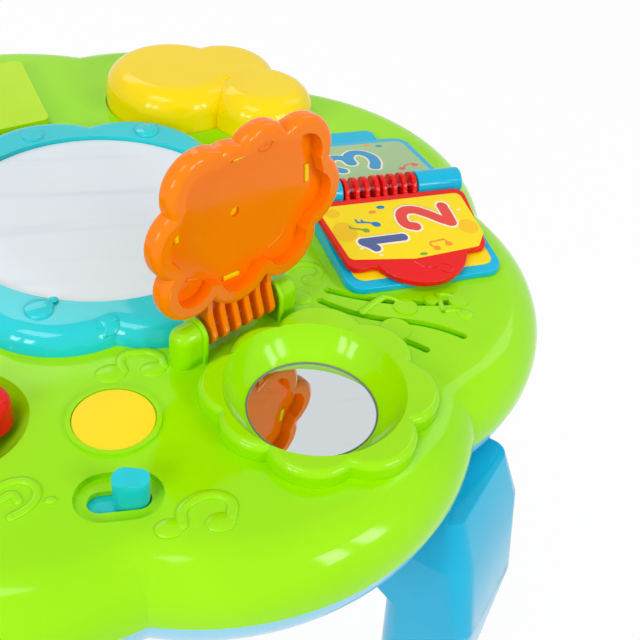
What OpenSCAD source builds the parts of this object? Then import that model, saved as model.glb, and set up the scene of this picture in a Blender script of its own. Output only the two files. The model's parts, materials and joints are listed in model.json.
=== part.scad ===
// Musical activity table: a petal-edged top on four legs, with six play stations.
// Origin: centre of the table on the floor. +Z up, +Y to the back, +X to the number book.
// Each station stands in a frame of its own: local -Y points out to the rim, +X runs along it.

/* [Table] */
// Height of the play surface above the floor
table_h = 300; // [240:5:360]
// Number of petals round the rim
petals = 8; // [8:1:8]
// Radius to the middle of a petal
tip_r = 236; // [232:1:244]
// Depth of the crease between two petals
petal_depth = 15; // [11:1:18]
// Wall of the moulded shells
wall = 2.6; // [2:0.2:3.2]
// Depth of the green top shell's rim
rim_h = 28; // [26:1:32]
// Radius of the rim's round edge
edge_r = 24; // [20:1:26]
// Depth of the pale lower shell
belly_h = 36; // [34:1:40]
// Running gap round moving pieces
gap = 0.6; // [0.4:0.1:1]

/* [Legs] */
// Distance of the leg sockets from the centre
socket_r = 160; // [156:1:162]
// Radius of the peg on top of a leg
peg_r = 17; // [14:1:19]
// Depth of the peg in its socket
peg_h = 22; // [16:1:26]
// Width of a leg at the top
leg_w = 74; // [60:1:80]
// Distance of the foot from the centre
foot_at = 232; // [214:1:238]
// Radius of a foot
foot_r = 21; // [17:1:24]
// Thickness of a rubber foot pad
pad_t = 3; // [2:0.5:5]

/* [Board] */
// Radius of the white drawing board
board_r = 75; // [66:1:76]
// Thickness of the drawing board
board_t = 2.2; // [1.6:0.2:3]
// Petal radius of the board's frame
bezel_tip_r = 103; // [101:1:104]
// Depth of the creases of the board's frame
bezel_depth = 9; // [7:1:11]
// Height of the board's frame
bezel_h = 11; // [9:0.5:13]

/* [Mirror] */
// Direction of the mirror station
mirror_a = -60; // [-62:1:-58]
// Distance of the mirror from the centre
mirror_at = 162; // [160:1:164]
// Radius of the mirror
mirror_r = 29.2; // [26:0.2:30]
// Thickness of the mirror
mirror_t = 2; // [1.5:0.1:2.5]
// Height of the flower frame above the play surface
flower_h = 8.5; // [7.5:0.5:9]
// Depth of the mirror below the play surface
mirror_sink = 6; // [5:0.5:7]
// Radius of the dish round the mirror
dish_r = 40.5; // [39:0.5:42]

/* [Lid] */
// Distance of the hinge from the middle of the mirror
hinge_y = 54; // [53:0.5:56]
// Height of the hinge above the play surface
hinge_z = 13; // [12.5:0.5:14]
// Radius of the hinge pin
pin_r = 1.75; // [1.5:0.25:2]
// Opening angle of the lid, as stored
lid_open = 91; // [80:1:100]
// Height of the lid's rolled rim
lid_h = 10; // [9:0.5:12]
// Width of the lid's rolled rim
lid_rim = 7.5; // [6.5:0.5:8.5]
// Number of ribs that wrap the hinge pin
lid_ribs = 6; // [4:1:7]

/* [Number book] */
// Turn of the book from the radial direction
book_turn = 5; // [0:1:6]
// Distance of the book from the centre
book_at = 158; // [155:1:160]
// Width of a page, along the spine
page_w = 90; // [84:1:92]
// Depth of a page, from the spine to its free edge
page_d = 61; // [56:1:62]
// Thickness of the page
page_t = 3.4; // [2.6:0.2:4]
// Slope of the pages
page_slope = 7; // [6:0.5:8]
// Radius of the spine
spine_r = 7.6; // [7:0.2:8]
// Height of the spine's axis above the play surface
spine_z = 15; // [14.5:0.5:16]
// Half depth of the tray
tray_d = 70; // [68:1:72]
// Width of the tray
tray_w = 88; // [86:1:90]

/* [Badge and switch] */
// Direction of the badge and switch
front_a = -92; // [-93:1:-90]
// Distance of the badge from the centre
badge_at = 140; // [136:1:142]
// Radius of the badge
badge_r = 17.4; // [15:0.2:18]
// Distance of the switch from the centre
switch_at = 180; // [177:1:182]
// Length of the switch's slot
slot_l = 25; // [23:0.5:27]
// Width of the switch's slot
slot_w = 10.4; // [9:0.2:11]
// Length of the switch's knob
knob_l = 14.6; // [13:0.2:15]
// Height of the switch's knob above the play surface
knob_h = 10; // [8:0.5:12]

/* [Spinner] */
// Direction of the red spinner
dial_a = -117.5; // [-119:0.5:-116]
// Distance of the spinner from the centre
dial_at = 147; // [146:1:150]
// Radius of the bowl round the spinner
bowl_r = 29.5; // [28:0.5:31]
// Depth of the bowl
bowl_d = 10; // [8:0.5:12]
// Reach of the spinner's lobes
dial_r = 23; // [20:0.5:24]

/* [Keys] */
// Number of piano keys
key_n = 4; // [2:1:4]
// Direction of the first gap beside the keys
key_a0 = 101.5; // [100:0.5:104]
// Angle taken by each key
key_pitch = 19; // [17:0.5:19]
// Inner radius of the keys
key_r0 = 107; // [107:0.5:110]
// Outer radius of the keys
key_r1 = 190; // [180:1:192]
// Height of the keys above the play surface
key_h = 6; // [4:0.5:8]
// Angle through which a key goes down
key_dip = 3.5; // [2:0.5:4]

/* [Drum] */
// Direction of the yellow drum
drum_a = 60; // [58:1:62]
// Height of the drum
drum_h = 24; // [18:1:28]
// Radius of the drum's upper edge
drum_edge = 15; // [10:1:17]
// Travel of the drum
drum_travel = 3; // [2:0.5:4]

/* [Roller] */
// Direction of the roller
roller_a = 203; // [201:1:204]
// Distance of the roller from the centre
roller_at = 158; // [154:1:160]
// Radius of the roller
roller_r = 19; // [16:0.5:20]
// Length of the roller
roller_l = 56; // [48:1:58]

/* [Hidden] */
$fn = 96;
eps = 0.01;

// Rim petals: eight circles on a ring, which cross at the creases
half = 180 / petals;
crease_r = tip_r - petal_depth;
petal_at = (tip_r * tip_r - crease_r * crease_r) / (2 * (tip_r - crease_r * cos(half)));
petal_r = tip_r - petal_at;
core_r = tip_r - 76;
// The middle of the top is a little thinner than its rim
thin_r = crease_r - 31;
fan = 62;
belly_in = 1;
belly_z = -rim_h - belly_h;
floor_in = belly_z + wall;

// Colours
leaf = [0.55, 0.85, 0.02];
lime = [0.72, 0.88, 0.02];
aqua = [0.05, 0.72, 0.82];
sky = [0.66, 0.84, 0.92];
blue = [0.02, 0.60, 0.84];
sun = [0.96, 0.84, 0.02];
tangerine = [1.0, 0.55, 0.02];
cherry = [0.86, 0.05, 0.06];

// ---------- helpers ----------

// Half section of a disc with a rounded upper edge
module puck_half(r, h, e) {
    square([r - e, h]);
    square([r, h - e]);
    intersection() {
        translate([r - e, h - e]) circle(e);
        translate([r - e - eps, h - e - eps]) square(e + 1);
    }
}

// Half section of a disc with both edges rounded
module pebble_half(r, h, e) {
    translate([0, e]) square([r, h - 2 * e]);
    square([r - e, h]);
    for (z = [e, h - e])
        intersection() {
            translate([r - e, z]) circle(e);
            translate([r - e - eps, z - e]) square([e + 1, 2 * e]);
        }
}

module pebbles(spots, h, e) {
    for (s = spots)
        translate([s[0], s[1], 0]) rotate_extrude() pebble_half(s[2], h, e);
    linear_extrude(h) polygon([for (s = spots) [s[0], s[1]]]);
}

// Discs at a list of [x, y, radius], filled between their centres
module pucks(spots, h, e) {
    for (s = spots)
        translate([s[0], s[1], 0]) rotate_extrude() puck_half(s[2], h, e);
    linear_extrude(h) polygon([for (s = spots) [s[0], s[1]]]);
}

module cans(spots, h, grow = 0) {
    for (s = spots)
        translate([s[0], s[1], 0]) cylinder(r = s[2] + grow, h = h);
    linear_extrude(h) polygon([for (s = spots) [s[0], s[1]]]);
}

// Spots of an even flower with n petals
function flower(n, tip, crease) =
    let (a = 180 / n, d = (tip * tip - crease * crease) / (2 * (tip - crease * cos(a))))
    [for (i = [0 : n - 1]) [d * cos((2 * i + 1) * a), d * sin((2 * i + 1) * a), tip - d]];

// Spots of the lid: nine petals round an oval, a little uneven
function lid_petals(g) = [
    [40, 4, 19 + g], [27, 24, 18.8 + g], [0, 26, 19.5 + g], [-26, 25, 17 + g], [-28.5, 2, 18 + g],
    [-20, -19, 18.5 + g], [-8, -19, 17.5 + g], [10, -24, 16.5 + g], [32, -18, 19 + g]
];

// Spots of the mirror's frame, whose inner end is cut straight for the hinge
frame_petals = [
    [36, 1, 19.5], [26, 22, 21.5], [0, 26, 20], [-22, 20, 21],
    [-28.5, 1, 19], [-21, -21, 20.5], [0, -31, 22], [26, -22, 21.5]
];

module at_surface() { translate([0, 0, table_h]) children(); }

// A station: its middle at distance d in direction a, local -Y outward
module station(a, d) {
    at_surface() rotate([0, 0, a]) translate([d, 0, 0]) rotate([0, 0, 90]) children();
}

// Half section of the top's rim: flat, one quarter round, straight skirt
module rim_half(t, low) {
    r = petal_r;
    intersection() {
        translate([r - edge_r, -edge_r]) circle(edge_r - t);
        translate([r - edge_r, -edge_r]) square(edge_r + 1);
    }
    translate([0, low]) square([r - edge_r, -low - t]);
    translate([r - edge_r, low]) square([edge_r - t, -edge_r - low]);
}

// The whole top as a solid, t inside its outer face, down to height low
module top_solid(t = 0, low = -rim_h, which = [0 : petals - 1]) {
    for (i = which)
        rotate([0, 0, (i + 0.5) * 360 / petals]) translate([petal_at, 0, 0])
            rotate([0, 0, -fan]) rotate_extrude(angle = 2 * fan) rim_half(t, low);
    translate([0, 0, low]) cylinder(r = core_r, h = -low - t);
}

// Half section of the lower shell: one quarter round from the parting line to the floor
module belly_half(t, over) {
    r = petal_r - belly_in;
    intersection() {
        translate([r - belly_h, -rim_h]) circle(belly_h - t);
        translate([r - belly_h, belly_z - 1]) square([belly_h + 1, belly_h + 1]);
    }
    translate([0, belly_z + t]) square([r - belly_h + eps, belly_h - t]);
    translate([0, -rim_h - eps]) square([r - t, over + eps]);
}

module belly_solid(t = 0, over = 0, which = [0 : petals - 1]) {
    for (i = which)
        rotate([0, 0, (i + 0.5) * 360 / petals]) translate([petal_at, 0, 0])
            rotate([0, 0, -fan]) rotate_extrude(angle = 2 * fan) belly_half(t, over);
    translate([0, 0, belly_z + t]) cylinder(r = core_r, h = belly_h - t + over);
}

// A groove along an arc g = [x, y, radius, from, to], with round ends
module groove(g, ends, w, h) {
    translate([g[0], g[1], 0]) {
        rotate([0, 0, g[3]]) rotate_extrude(angle = g[4] - g[3])
            translate([g[2] - w / 2, 0]) square([w, h]);
        for (e = [0, 1])
            if (ends[e] == 1)
                rotate([0, 0, g[3 + e]]) translate([g[2], 0, 0]) cylinder(d = w + 0.3, h = h);
    }
}

// A slot with round ends, centred, its length along X
module stadium(l, w, h) {
    for (s = [-1, 1]) translate([s * (l - w) / 2, 0, 0]) cylinder(d = w, h = h);
    translate([-(l - w) / 2, -w / 2, 0]) cube([l - w, w, h]);
}

// ---------- top shell ----------

board_hole_r = 64;
mirror_hole_r = 36;
drum_spots = [[20, 11, 43], [-38, 8, 32], [-6, -12, 33]];
drum_at = 158;
badge_lip = 1.2;
badge_lip_w = 2.2;
recess_l = 35;
recess_w = 24;
recess_d = 3;
boss_at = tip_r - 31;
boss_r = 5;
boss_split = -40;
pilot_r = 1.3;
shaft_r = 3;
key_a1 = key_a0 + key_n * key_pitch;
roller_z = -9;
axle_r = 2.5;
cradle_x = roller_l / 2 + gap + 2;
speaker_r = 25;
speaker_x = 131;
speaker_y = -93;

// Staves of the speaker grille: [x, y, radius, from, to] of each arc
grille_w = 4.2;
grille = [
    [169.8, 39.6, 124.3, -120.5, -89.5],
    [152.8, -24.8, 72.2, -135.9, -103.5],
    [121.7, -154.2, 60.9, 46.7, 76.5],
    [88.7, -168.2, 74, 44.1, 72.6]
];
// Which ends of each arc are round: first, last
grille_ends = [[1, 1], [1, 0], [1, 0], [1, 1]];
grille_notes = [[132, -101, 7.5], [142, -85.5, 6], [98.5, -83.5, 5], [171, -84, 5.2], [157, -82, 3.4]];

// The hollow of the spinner's bowl, in two slopes, which goes 1 above the surface
module bowl() {
    run = bowl_r / 5 / (bowl_d * 0.6);
    translate([0, 0, -bowl_d])
        cylinder(r1 = bowl_r * 0.45, r2 = bowl_r * 0.8, h = bowl_d * 0.4);
    translate([0, 0, -bowl_d * 0.6])
        cylinder(r1 = bowl_r * 0.8, r2 = bowl_r + run, h = bowl_d * 0.6 + 1);
}

module top_shell() color(leaf) {
    at_surface() {
        difference() {
            union() {
                difference() {
                    top_solid();
                    top_solid(t = wall + 0.4, low = -rim_h - 1);
                    translate([0, 0, -rim_h - 1]) cylinder(r = thin_r, h = rim_h + 1 - wall);
                }
                // pillars for the screws
                for (i = [0 : petals - 1])
                    rotate([0, 0, (i + 0.5) * 360 / petals])
                        translate([boss_at, 0, boss_split]) cylinder(r = boss_r, h = -boss_split - 2);
                // lip round the badge
                rotate([0, 0, front_a]) translate([badge_at, 0, -1])
                    cylinder(r = badge_r + badge_lip_w + 0.3, h = 1 + badge_lip);
                // bowl for the spinner
                rotate([0, 0, dial_a]) translate([dial_at, 0, 0])
                    translate([0, 0, -bowl_d - wall]) cylinder(r = bowl_r + wall, h = bowl_d + wall / 2);
                // floor of the switch's recess
                rotate([0, 0, front_a]) translate([switch_at, 0, -recess_d - wall]) rotate([0, 0, 90])
                    stadium(recess_l + 2 * wall, recess_w + 2 * wall, recess_d + wall / 2);
            }
            // board
            translate([0, 0, -20]) cylinder(r = board_hole_r, h = 30);
            // mirror
            rotate([0, 0, mirror_a]) translate([mirror_at, 0, -20]) cylinder(r = mirror_hole_r, h = 30);
            // badge
            rotate([0, 0, front_a]) translate([badge_at, 0, 0]) cylinder(r = badge_r + 0.3, h = 5);
            // switch
            rotate([0, 0, front_a]) translate([switch_at, 0, 0]) rotate([0, 0, 90]) {
                translate([0, 0, -recess_d]) stadium(recess_l, recess_w, 9);
                translate([0, 0, -20]) stadium(slot_l, slot_w, 30);
            }
            // spinner
            rotate([0, 0, dial_a]) translate([dial_at, 0, 0]) {
                bowl();
                translate([0, 0, -20]) cylinder(r = shaft_r + 0.05, h = 20);
            }
            // keys
            translate([0, 0, -8]) rotate([0, 0, key_a0])
                rotate_extrude(angle = key_n * key_pitch)
                    translate([key_r0 - 1, 0]) square([key_r1 - key_r0 + 2, 20]);
            // drum
            rotate([0, 0, drum_a]) translate([drum_at, 0, -8]) rotate([0, 0, 90])
                cans(drum_spots, 20, gap);
            // roller
            rotate([0, 0, roller_a]) translate([roller_at, 0, -8]) rotate([0, 0, 90])
                translate([-roller_l / 2 - 1, -roller_r + 0.4, 0])
                    cube([roller_l + 2, 2 * roller_r - 0.8, 20]);
            // speaker grille
            for (i = [0 : len(grille) - 1])
                translate([0, 0, -5]) groove(grille[i], grille_ends[i], grille_w, 10);
            translate([94, -86, -5]) rotate([0, 0, -60]) stadium(10.5, grille_w, 10);
            // screw pilots
            for (i = [0 : petals - 1])
                rotate([0, 0, (i + 0.5) * 360 / petals])
                    translate([boss_at, 0, boss_split - 1]) cylinder(r = pilot_r, h = 24);
        }
        // raised notes on the grille
        for (n = grille_notes)
            translate([n[0], n[1], -1.5]) cylinder(r = n[2], h = 2.3);
    }
}

// ---------- lower shell, legs, feet ----------

leg_angles = [-45, 45, 135, 225];
door_l = 70;
door_w = 46;
box_wall = 2;
box_h = 19;
pcb_z = -34;

module bottom_shell() color(sky) {
    at_surface() difference() {
        union() {
            difference() {
                belly_solid();
                belly_solid(t = wall, over = 1);
            }
            // pillars for the screws
            for (i = [0 : petals - 1])
                rotate([0, 0, (i + 0.5) * 360 / petals])
                    translate([boss_at, 0, belly_z + 2.2])
                        cylinder(r = boss_r, h = boss_split - belly_z - 2.2);
            // sockets for the legs
            for (a = leg_angles)
                rotate([0, 0, a]) translate([socket_r, 0, belly_z + wall / 2])
                    cylinder(r = peg_r + wall, h = peg_h + wall / 2);
        }
        for (i = [0 : petals - 1])
            rotate([0, 0, (i + 0.5) * 360 / petals]) translate([boss_at, 0, belly_z - 1]) {
                cylinder(r = 1.8, h = -belly_z + 1);
                cylinder(r = 3.6, h = 15);
            }
        for (a = leg_angles)
            rotate([0, 0, a]) translate([socket_r, 0, belly_z - 1])
                cylinder(r = peg_r + 0.1, h = peg_h + 1.3);
        translate([-door_l / 2, -door_w / 2, belly_z - 1]) cube([door_l, door_w, wall + 2]);
    }
}

// A slab with round corners between two radii, w wide
module slab(r0, r1, w, z, c) {
    for (x = [r0 + c, r1 - c], y = [-w / 2 + c, w / 2 - c])
        translate([x, y, z]) cylinder(r = c, h = 1.6, $fn = 28);
}

module leg(a) color(blue) {
    foot_z = pad_t - table_h;
    knee_z = belly_z - 62;
    brow_z = belly_z - 12;
    leg_out = foot_at + foot_r;
    at_surface() rotate([0, 0, a]) {
        difference() {
            union() {
                hull() {
                    slab(206, leg_out - 20, leg_w - 12, belly_z + 14, 8);
                    slab(socket_r - peg_r - 4, leg_out - 9, leg_w, brow_z, 12);
                }
                hull() {
                    slab(socket_r - peg_r - 4, leg_out - 9, leg_w, brow_z, 12);
                    slab(foot_at - 27, leg_out + 1, leg_w - 10, knee_z, 10);
                }
                hull() {
                    slab(foot_at - 27, leg_out + 1, leg_w - 10, knee_z, 10);
                    translate([foot_at, 0, foot_z]) cylinder(r = foot_r, h = 2, $fn = 32);
                }
            }
            rotate([0, 0, -a]) belly_solid(t = -0.2, over = 12, which = leg_lobes(a));
        }
        translate([socket_r, 0, belly_z - 2]) cylinder(r = peg_r, h = peg_h + 2);
    }
}

// The two petals that meet over a leg
function leg_lobes(a) = let (k = (a + 360) % 360 / (360 / petals)) [(k + petals - 1) % petals, k % petals];

module leg_front_right() leg(leg_angles[0]);
module leg_back_right() leg(leg_angles[1]);
module leg_back_left() leg(leg_angles[2]);
module leg_front_left() leg(leg_angles[3]);

module foot_pads() color("dimgray") {
    for (a = leg_angles)
        rotate([0, 0, a]) translate([foot_at, 0, 0]) {
            cylinder(r1 = foot_r - 2.5, r2 = foot_r - 1.5, h = 1);
            translate([0, 0, 1]) cylinder(r = foot_r - 1.5, h = pad_t - 1);
        }
}

// ---------- drawing board ----------

ledge_z = 6;
backing_t = 0.6;

module board_frame() color(aqua) {
    at_surface() {
        difference() {
            union() {
                pucks(flower(petals, bezel_tip_r, bezel_tip_r - bezel_depth), bezel_h, bezel_h - 0.6);
                cylinder(r = board_r + 2, h = bezel_h);
            }
            translate([0, 0, ledge_z]) cylinder(r = board_r + 0.3, h = bezel_h);
            translate([0, 0, -1]) cylinder(r = board_r - 6, h = bezel_h);
        }
        // pebbles on the petals
        for (i = [0 : petals - 1])
            rotate([0, 0, (i + 0.5) * 360 / petals]) translate([board_r + 9.5, 0, bezel_h - 1])
                rotate_extrude() puck_half(6.5, 2.3, 1.5);
    }
}

module writing_board() color([0.88, 0.90, 0.92])
    at_surface() translate([0, 0, ledge_z + backing_t]) cylinder(r = board_r, h = board_t);

module board_backing() color("silver")
    at_surface() translate([0, 0, ledge_z]) cylinder(r = board_r - 0.5, h = backing_t);

// ---------- mirror and lid ----------

module mirror_spot() station(mirror_a, mirror_at) children();

// The two petals of the rim that lie under the mirror's frame
mirror_lobes = [petals - 2, petals - 1];
straight_y = 45.5;

module mirror_frame() color(leaf) {
    rim_ball = (dish_r * dish_r - (mirror_r + 1) * (mirror_r + 1)
        + flower_h * flower_h - mirror_sink * mirror_sink) / (2 * (flower_h + mirror_sink));
    ball = sqrt(dish_r * dish_r + (rim_ball - flower_h) * (rim_ball - flower_h));
    difference() {
        union() {
            difference() {
                mirror_spot() difference() {
                    translate([0, 0, -6]) pucks(frame_petals, flower_h + 6, 3.5);
                    translate([-60, straight_y, -10]) cube([120, 20, 30]);
                }
                at_surface() top_solid(t = -0.1, which = mirror_lobes);
            }
            mirror_spot() translate([0, 0, -mirror_sink - mirror_t - 2.6])
                cylinder(r = mirror_hole_r - 0.3, h = mirror_sink + mirror_t + 4);
        }
        mirror_spot() {
            rotate_extrude() intersection() {
                translate([0, rim_ball]) circle(ball);
                translate([0, -mirror_sink]) square([60, 30]);
            }
            translate([0, 0, -mirror_sink - mirror_t - 0.2])
                cylinder(r = mirror_r + 0.4, h = mirror_t + 1);
        }
    }
}

module mirror() color("gainsboro")
    mirror_spot() translate([0, 0, -mirror_sink - mirror_t - 0.2]) cylinder(r = mirror_r, h = mirror_t);

post_in = 21.5;
post_w = 14.5;
post_r = 6.5;

module hinge_posts() color(leaf) {
    mirror_spot() difference() {
        union() {
            for (s = [-1, 1]) {
                x = s > 0 ? post_in : -post_in - post_w;
                translate([x, hinge_y - post_r, 0]) cube([post_w, 2 * post_r, hinge_z]);
                translate([x, hinge_y, hinge_z]) rotate([0, 90, 0]) cylinder(r = post_r, h = post_w);
                translate([s * (post_in + 1.2) - 1.2, hinge_y, hinge_z])
                    rotate([0, 90, 0]) cylinder(r = post_r + 1.6, h = 2.4);
                translate([s * (post_in + 1.2) - 1.2, hinge_y - post_r - 1.6, 0])
                    cube([2.4, 2 * post_r + 3.2, hinge_z]);
            }
        }
        translate([-post_in - 10, hinge_y, hinge_z])
            rotate([0, 90, 0]) cylinder(r = pin_r + 0.05, h = 2 * post_in + 20);
    }
}

module lid_pin() color("silver")
    mirror_spot() translate([-post_in - 9.5, hinge_y, hinge_z])
        rotate([0, 90, 0]) cylinder(r = pin_r, h = 2 * post_in + 19);

// The lid is drawn closed over the mirror, then swung open about its pin
module lid_spot()
    mirror_spot() translate([0, hinge_y, hinge_z]) rotate([-lid_open, 0, 0])
        translate([0, -hinge_y, flower_h + 0.3 - hinge_z]) children();

web_z = 6.4;
web_t = 1.6;

// The lid's pocket: its petals, joined to an even oval
module pocket(g, h) {
    cans(lid_petals(g), h);
    for (x = [-5, 16])
        translate([x, 0, 0]) cylinder(r = 38 + g, h = h);
}

knuckle_t = 2.6;
snap_spots = [[41, -5, 84], [-1.5, 33, 3], [-31.5, -2, 88], [2, -26.5, -4]];

module lid() color(tangerine) {
    lid_spot() {
        difference() {
            union() {
                difference() {
                    pebbles(lid_petals(0), lid_h, 3.8);
                    translate([0, 0, -1]) pocket(-lid_rim, web_z + 1);
                    translate([0, 0, web_z + web_t]) pocket(-lid_rim + 1.5, 9);
                }
                // knuckles round the pin
                for (i = [0 : lid_ribs - 1]) {
                    x = -18.6 + i * (37.2 - knuckle_t) / (lid_ribs - 1);
                    translate([x, hinge_y, hinge_z - flower_h - 0.3])
                        rotate([0, 90, 0]) cylinder(r = post_r, h = knuckle_t);
                    arm_y = abs(x + knuckle_t / 2) > 12 ? 33 : 39;
                    translate([x, arm_y, 1]) cube([knuckle_t, hinge_y - arm_y, hinge_z - flower_h + 3]);
                }
            }
            translate([-30, hinge_y, hinge_z - flower_h - 0.3])
                rotate([0, 90, 0]) cylinder(r = pin_r + 0.05, h = 60);
            // round hole in the middle and slots for the insert's tabs
            translate([0, 0, web_z - 2]) cylinder(r = 2.4, h = web_t + 4);
            for (t = snap_spots)
                translate([t[0], t[1], web_z - 2]) rotate([0, 0, t[2]])
                    translate([-5, -1.4, 0]) cube([10, 2.8, web_t + 2.6]);
        }
    }
}

module lid_face() color(sun) {
    lid_spot() {
        translate([0, 0, web_z + web_t]) pocket(-lid_rim + 1, 1.8);
        for (t = snap_spots)
            translate([t[0], t[1], web_z - 0.9]) rotate([0, 0, t[2]])
                translate([-4.6, -1.1, 0]) cube([9.2, 2.2, web_t + 1.2]);
    }
}

// ---------- number book ----------

// Book frame: X along the spine towards the rim, -Y on the near side
module book_spot() at_surface() translate([book_at, 0, 0]) rotate([0, 0, book_turn]) children();

// Outward side of the edge from p to q, for corners listed anticlockwise
function edge_side(p, q) = [q[1] - p[1], p[0] - q[0]] / norm(q - p);

// A plate with corners of radius r about the points listed
module rounded(points, r, h) {
    n = len(points);
    for (p = points) translate([p[0], p[1], 0]) cylinder(r = r, h = h);
    linear_extrude(h) polygon([
        for (i = [0 : n - 1]) each [
            points[i] + r * edge_side(points[(i + n - 1) % n], points[i]),
            points[i] + r * edge_side(points[i], points[(i + 1) % n])
        ]
    ]);
}

// Corner centres of a rectangle x0..x1, y0..y1 with corners of radius r
function corners(x0, x1, y0, y1, r) =
    [[x0 + r, y0 + r], [x1 - r, y0 + r], [x1 - r, y1 - r], [x0 + r, y1 - r]];

page_clear = page_t / 2 + 1.1;
tray_mid = -4;
page_mid = -4.5;
tab_r = 28;
tray_end = spine_z - page_clear - (tray_d + 1) * tan(page_slope);
knuckle_x = [[-29, -8.4], [-6.6, 14]];
barrel_x = [[-43, -30], [15, 42]];
tray_lobes = [0, petals - 1];
label_t = 0.3;

module book_tray() color(blue) {
    difference() {
        book_spot() difference() {
            intersection() {
                translate([tray_mid, 0, -8])
                    rounded(corners(-tray_w / 2, tray_w / 2, -tray_d, tray_d, 9), 9, 30);
                translate([-tray_w, 0, 0]) rotate([90, 0, 90]) linear_extrude(2 * tray_w)
                    polygon([
                        [-tray_d - 1, -8], [tray_d + 1, -8], [tray_d + 1, tray_end],
                        [0, tray_end + (tray_d + 1) * tan(page_slope)], [-tray_d - 1, tray_end]
                    ]);
            }
            // trough for the page's knuckles
            translate([-tray_w, 0, spine_z]) rotate([0, 90, 0]) cylinder(r = spine_r + 1.1, h = 2 * tray_w);
            translate([-tray_w, -4.3, 2.4]) cube([2 * tray_w, 8.6, 10]);
        }
        at_surface() top_solid(t = -0.05, which = tray_lobes);
    }
    // rest for the page's tab
    book_spot() translate([0, 0, 0.1])
        rounded(corners(-20, 24, tray_d - 12, tray_d + 14, 5), 5, 2.2);
}

module tray_label(side) {
    book_spot() translate([0, 0, spine_z - page_clear])
        rotate([-side * page_slope, 0, 0])
            translate([tray_mid, 0, 0]) rounded(corners(-tray_w / 2 + 5, tray_w / 2 - 4,
                side > 0 ? 12 : 5 - tray_d, side > 0 ? tray_d - 5 : -12, 6), 6, label_t);
}

module tray_label_front() color(sun) tray_label(-1);
module tray_label_back() color([0.70, 0.82, 0.64]) tray_label(1);

module book_spine() color(blue) {
    book_spot() {
        difference() {
            for (b = barrel_x) {
                translate([b[0], 0, spine_z]) rotate([0, 90, 0]) cylinder(r = spine_r, h = b[1] - b[0]);
                translate([b[0], -4.2, 2.4]) cube([b[1] - b[0], 8.4, spine_z - 2.4]);
            }
            translate([-60, 0, spine_z]) rotate([0, 90, 0]) cylinder(r = pin_r + 0.05, h = 98);
        }
    }
}

module book_pin() color("silver")
    book_spot() translate([-42, 0, spine_z]) rotate([0, 90, 0]) cylinder(r = pin_r, h = 79);

// The page lies on the near half of the tray
module page_spot() book_spot() translate([0, 0, spine_z]) rotate([page_slope, 0, 0]) children();

page_corners = [
    [page_mid - page_w / 2 + 10, -page_d + 6.4], [page_mid + page_w / 2 - 11, -page_d + 9.8],
    [page_mid + page_w / 2 - 6, -14.4], [page_mid - page_w / 2 + 6, -14.4]
];

module book_page() color(cherry) {
    page_spot() {
        difference() {
            union() {
                translate([0, 0, -page_t / 2]) rounded(page_corners, 6, page_t);
                // grip at the free edge
                translate([page_mid, -page_d + 12.5, -page_t / 2]) cylinder(r = tab_r, h = page_t);
                for (k = knuckle_x) {
                    for (i = [0 : 3])
                        translate([k[0] + i * (k[1] - k[0] - knuckle_t) / 3, 0, 0]) {
                            rotate([0, 90, 0]) cylinder(r = spine_r, h = knuckle_t);
                            translate([0, -12, -page_t / 2]) cube([knuckle_t, 12, page_t]);
                        }
                }
            }
            translate([-60, 0, 0]) rotate([0, 90, 0]) cylinder(r = pin_r + 0.05, h = 120);
        }
    }
}

label_corners = [
    [page_mid - page_w / 2 + 9.9, -page_d + 10.4], [page_mid - 3.5, -page_d + 5.7],
    [page_mid + page_w / 2 - 12.5, -page_d + 8.4], [page_mid + page_w / 2 - 6.9, -page_d + 16],
    [page_mid + page_w / 2 - 6.9, -16.4], [page_mid - page_w / 2 + 5.9, -16.4]
];

module page_label_front() color(sun)
    page_spot() translate([0, 0, page_t / 2]) rounded(label_corners, 3.6, label_t);

module page_label_back() color(sun)
    page_spot() translate([0, 0, -page_t / 2 - label_t]) rounded(label_corners, 3.6, label_t);

// ---------- badge and switch ----------

module badge() color(sun)
    station(front_a, badge_at) cylinder(r = badge_r, h = 0.8);

plate_z = -recess_d - wall - 0.2;
slot_play = slot_l - knob_l - 1;

module switch_knob() color(aqua) {
    station(front_a, switch_at) {
        // button, with a hollow for the finger
        translate([slot_play / 2, 0, 0]) difference() {
            translate([0, 0, plate_z - 1]) stadium(knob_l, slot_w - 2 * gap, knob_h - plate_z + 1);
            translate([0, slot_w, knob_h + 6]) rotate([90, 0, 0]) cylinder(r = 8, h = 2 * slot_w);
        }
        // slider under the slot
        translate([-slot_l / 2 - 0.5, -8, plate_z - 2.4]) cube([slot_l + slot_play + 1, 16, 2.4]);
        translate([3.6, -1.4, plate_z - 6]) cube([3, 2.8, 4]);
    }
}

module slide_switch() color("dimgray") {
    station(front_a, switch_at) difference() {
        union() {
            for (y = [-12.2, 9.4])
                translate([-6, y, plate_z - 4.2]) cube([12, 2.8, 4.4]);
            translate([-16, -12.2, plate_z - 4.2]) cube([32, 24.4, 1.2]);
            translate([-13, -5, plate_z - 11]) cube([26, 10, 7]);
            for (x = [-8, 0, 8])
                translate([x, 0, plate_z - 14]) cylinder(r = 0.8, h = 4);
        }
        translate([-11, -1.9, plate_z - 8]) cube([20, 3.8, 6]);
    }
}

// ---------- spinner ----------

module dial_spot() station(dial_a, dial_at) children();

module red_spinner() color(cherry) {
    lobe_at = dial_r - 11;
    // one lobe points along the table's X axis
    dial_spot() rotate([0, 0, -dial_a - 90]) difference() {
        union() {
            translate([0, 0, -2.6]) {
                for (i = [0 : 4])
                    rotate([0, 0, i * 72]) translate([lobe_at, 0, 0])
                        rotate_extrude() puck_half(11, 14.6, 5);
                rotate_extrude() puck_half(dial_r - 4, 14.6, 4);
            }
            translate([0, 0, -bowl_d + 0.5]) cylinder(r = 9, h = bowl_d);
        }
        translate([0, 0, -bowl_d - 1]) cylinder(r = shaft_r, h = bowl_d + 7);
    }
}

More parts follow.
